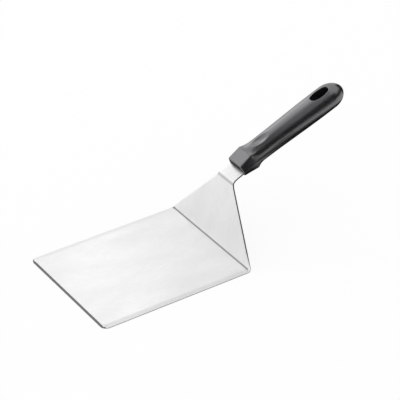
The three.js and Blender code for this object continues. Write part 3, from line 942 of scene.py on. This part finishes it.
class SPATULA_OT_blade(bpy.types.Operator):
    """Make the bent steel sheet: blade, shoulder, neck and tang"""

    bl_idname = "spatula.blade"
    bl_label = "Steel Blade"

    def execute(self, context):
        blade = context.scene.spatula_blade
        sheet = BentSheet(blade, context.scene.spatula_handle)
        piece = make_sheet(blade, sheet)
        finish = context.scene.spatula_finish
        piece.data.materials.append(brushed_steel(finish))
        piece.data.materials.append(shaded_cut_steel(finish))
        for rod in lock_rods(blade, sheet, blade.lock_hole_diameter, 2 * blade.thickness):
            cut_away(piece, rod)
        shade(piece, SHEET_SHARP_ANGLE)
        place_piece(piece, "blade")
        return {"FINISHED"}


class SPATULA_OT_handle(bpy.types.Operator):
    """Make the moulded handle with its collar, thumb dish and hanging slot"""

    bl_idname = "spatula.handle"
    bl_label = "Moulded Handle"

    def execute(self, context):
        blade = context.scene.spatula_blade
        handle = context.scene.spatula_handle
        sheet = BentSheet(blade, handle)
        skin = HandleSkin(handle)
        skin.lay_skin()
        skin.close_ends()
        skin.line_slot()
        mesh = mesh_from("moulded_handle", skin.vertices, skin.faces)
        mesh.transform(handle_matrix(blade, handle, sheet))
        for face in skin.shaded_dull_faces:
            mesh.polygons[face].material_index = 1
        finish = context.scene.spatula_finish
        # The dull plastic is rougher and nearly unreflective, partly as painted shade
        skin_look = ("moulded_plastic", finish, finish.plastic_roughness, finish.plastic_gloss)
        shaded_dull_look = ("shaded_dull_plastic", finish, finish.dull_roughness, finish.shaded_face_gloss)
        for look in (skin_look, shaded_dull_look):
            mesh.materials.append(moulded_plastic(*look))
        piece = new_piece("moulded_handle", mesh)
        cut_away(piece, pocket_cutter(blade, handle, sheet))
        shade(piece, HANDLE_SHARP_ANGLE)
        place_piece(piece, "handle")
        return {"FINISHED"}


def facing_origin(bearing, height, distance, roll=0):
    """A place at a bearing off +Y towards +X and a height over the horizon, and the turn to the origin.

    All angles are in degrees."""
    bearing, height, roll = map(math.radians, (bearing, height, roll))
    level = math.cos(height)
    towards = Vector((math.sin(bearing) * level, math.cos(bearing) * level, math.sin(height)))
    return towards * distance, towards.to_track_quat("Z", "Y") @ Quaternion((0, 0, 1), roll)


def soft_box(name, bearing, height, distance, sides, radiance, roll=0):
    """An oblong area lamp that faces the origin."""
    lamp = bpy.data.lights.new(name, "AREA")
    lamp.shape = "RECTANGLE"
    lamp.size, lamp.size_y = sides
    lamp.energy = radiance * math.pi * sides[0] * sides[1]
    box = new_piece(name, lamp)
    box.rotation_mode = "QUATERNION"
    box.location, box.rotation_quaternion = facing_origin(bearing, height, distance, roll)
    box.visible_camera = False


def dark_card(name, vertices, faces, tone=0.0):
    """A card that only reflections see, black or of a grey tone."""
    mesh = bpy.data.meshes.new(name)
    mesh.from_pydata(vertices, [], faces)
    card = new_piece(name, mesh)
    card.visible_camera = False
    card.visible_diffuse = False
    card.visible_shadow = False
    material, nodes = new_material(name)
    glow = nodes.add("ShaderNodeEmission", {"Color": WHITE, "Strength": tone})
    nodes.add("ShaderNodeOutputMaterial", {"Surface": glow.outputs["Emission"]})
    mesh.materials.append(material)


def bent_card(name, start, end, low, high):
    """A black card bent around the handle, from one bearing off +Y towards +X to another."""
    vertices = []
    for bearing in np.radians(np.linspace(start, end, CARD_STEPS + 1)):
        x = CARD_CENTRE + CARD_RADIUS * math.sin(bearing)
        y = CARD_RADIUS * math.cos(bearing)
        vertices += [(x, y, low), (x, y, high)]
    faces = [(2 * k, 2 * k + 2, 2 * k + 3, 2 * k + 1) for k in range(CARD_STEPS)]
    dark_card(name, vertices, faces)


def flat_card(name, low, high, tone=0.0):
    """A dark card between two corners: upright where they have one y, and level where they have one z."""
    (x0, y0, z0), (x1, y1, z1) = low, high
    corners = [(x0, y0, z0), (x1, y0, z0), (x1, y1, z1), (x0, y1, z1)]
    dark_card(name, corners, [(0, 1, 2, 3)], tone)


def seen_share(nodes):
    """One where the camera, a reflection or glass looks, and nought for light on a surface."""
    path = nodes.add("ShaderNodeLightPath").outputs
    seen = nodes.calculate("MAXIMUM", path["Is Camera Ray"], path["Is Glossy Ray"])
    return nodes.calculate("MAXIMUM", seen, path["Is Transmission Ray"])


def studio_floor(stage):
    """A wide pale floor that keeps a faint shadow and is close to white for the camera and reflections."""
    half = 10.0
    below = -0.05 * MM
    corners = [(-half, -half, below), (half, -half, below), (half, half, below), (-half, half, below)]
    mesh = bpy.data.meshes.new("studio_floor")
    mesh.from_pydata(corners, [], [(0, 1, 2, 3)])
    floor = new_piece("studio_floor", mesh)
    material, nodes = new_material("studio_floor")
    matt = nodes.add("ShaderNodeBsdfDiffuse", {"Color": (*stage.floor, 1)})
    white = nodes.add("ShaderNodeEmission", {"Color": WHITE, "Strength": 1.0})
    share = nodes.calculate("MULTIPLY", seen_share(nodes), stage.floor_glow)
    blend = nodes.add("ShaderNodeMixShader", {0: share, 1: matt.outputs[0], 2: white.outputs[0]})
    nodes.add("ShaderNodeOutputMaterial", {"Surface": blend.outputs[0]})
    mesh.materials.append(material)


def studio_world(stage):
    """Even light from all around, and white where the camera or a reflection looks past the floor."""
    world = bpy.data.worlds.new("studio")
    bpy.context.scene.world = world
    world.use_nodes = True
    nodes = Nodes(world.node_tree)
    light = nodes.add("ShaderNodeBackground", {"Color": WHITE, "Strength": stage.ambient})
    white = nodes.add("ShaderNodeBackground", {"Color": WHITE, "Strength": 1.0})
    share = seen_share(nodes)
    blend = nodes.add("ShaderNodeMixShader", {0: share, 1: light.outputs[0], 2: white.outputs[0]})
    nodes.add("ShaderNodeOutputWorld", {"Surface": blend.outputs[0]})


def studio_camera(stage):
    """The camera at the photograph's viewing angle, for a square picture."""
    camera = bpy.data.cameras.new("camera")
    camera.sensor_width = 36
    camera.lens = stage.lens
    camera.clip_end = 100
    eye = new_piece("camera", camera)
    back = Vector((
        math.sin(stage.azimuth) * math.cos(stage.elevation),
        -math.cos(stage.azimuth) * math.cos(stage.elevation),
        math.sin(stage.elevation),
    ))
    eye.location = Vector(stage.aim) + back * stage.distance
    eye.rotation_mode = "QUATERNION"
    eye.rotation_quaternion = back.to_track_quat("Z", "Y") @ Quaternion((0, 0, 1), stage.roll)
    bpy.context.scene.camera = eye


def studio_lights(stage):
    """The soft boxes: bearing and height in degrees, distance and sides in metres, brightness, roll."""
    soft_box("key_light", 9, 23, 3.0, (0.68, 1.8), stage.key_radiance, -19)
    soft_box("collar_light", -25, 40, 3.0, (0.44, 0.6), stage.collar_radiance)
    soft_box("top_light", 14, 51, 3.0, (0.7, 0.5), stage.top_radiance)
    soft_box("left_light", -42, 5.5, 1.3, (0.9, 0.22), stage.left_radiance)
    soft_box("blade_light", 27.3, 35.7, 0.564, (0.06, 0.6), stage.blade_radiance, 19.4)


def studio_cards():
    """The dark cards that the steel and the plastic reflect, with their places in metres."""
    # Bent cards, from bearing to bearing in degrees and from height to height
    bent_card("front_card", 130, 215, 0.23, 1.2)
    bent_card("right_card", 95, 130, 0.23, 0.5)
    bent_card("flank_card", 150, 164, 0.11, 0.23)
    bent_card("end_card", 54, 95, 0.015, 0.4)
    # Flat cards, from corner to corner, the upright ones first, and the tone of those that aren't black
    flat_card("far_card", (-0.05, 0.3, 0.02), (0.27, 0.3, 0.11), 0.72)
    flat_card("flank_flag", (0.096, -0.062, 0.025), (0.1285, -0.062, 0.107))
    flat_card("waist_flag", (0.146, -0.06, 0.055), (0.168, -0.06, 0.095), 0.25)
    flat_card("flank_shade", (0.05, -0.36, SHADE_HEIGHT), (0.29, -0.085, SHADE_HEIGHT))
    flat_card("collar_shade", (0.11, -0.085, SHADE_HEIGHT), (0.168, 0.08, SHADE_HEIGHT))
    flat_card("under_shade", (0.168, -0.03, SHADE_HEIGHT), (0.365, 0.1, SHADE_HEIGHT))
    flat_card("side_shade", (0.188, -0.085, SHADE_HEIGHT), (0.365, -0.03, SHADE_HEIGHT))
    flat_card("over_card", (0.02, -0.23, 0.7), (0.2, 0.2, 0.7), 0.3)
    flat_card("waist_card", (0.092, -0.045, 0.2), (0.12, 0.02, 0.2))


class SPATULA_OT_stage(bpy.types.Operator):
    """Make the studio: pale floor, soft light, dark cards for the pieces to reflect, and camera"""

    bl_idname = "spatula.stage"
    bl_label = "Studio Stage"

    def execute(self, context):
        stage = context.scene.spatula_stage
        context.scene.view_settings.view_transform = "Standard"
        studio_floor(stage)
        studio_world(stage)
        studio_lights(stage)
        studio_cards()
        studio_camera(stage)
        return {"FINISHED"}


class SPATULA_PT_panel(bpy.types.Panel):
    """Lists what the add-on makes"""

    bl_idname = "SPATULA_PT_panel"
    bl_label = "Plancha Spatula"
    bl_space_type = "VIEW_3D"
    bl_region_type = "UI"
    bl_category = "Spatula"

    def draw(self, context):
        for operator in OPERATORS:
            self.layout.operator(operator.bl_idname)


SETTINGS = {
    "spatula_blade": BladeSizes,
    "spatula_handle": HandleSizes,
    "spatula_finish": FinishSettings,
    "spatula_stage": StageSettings,
}
OPERATORS = (SPATULA_OT_blade, SPATULA_OT_handle, SPATULA_OT_stage)
CLASSES = (*SETTINGS.values(), *OPERATORS, SPATULA_PT_panel)


def register():
    """Adds the classes to Blender and the settings to its scenes."""
    for each in CLASSES:
        bpy.utils.register_class(each)
    for name, group in SETTINGS.items():
        setattr(bpy.types.Scene, name, PointerProperty(type=group))


def unregister():
    """Takes the settings and the classes away again."""
    for name in SETTINGS:
        delattr(bpy.types.Scene, name)
    for each in reversed(CLASSES):
        bpy.utils.unregister_class(each)


def main():
    """Makes the spatula and its stage."""
    register()
    bpy.ops.spatula.blade()
    bpy.ops.spatula.handle()
    bpy.ops.spatula.stage()


if __name__ == "__main__":
    main()
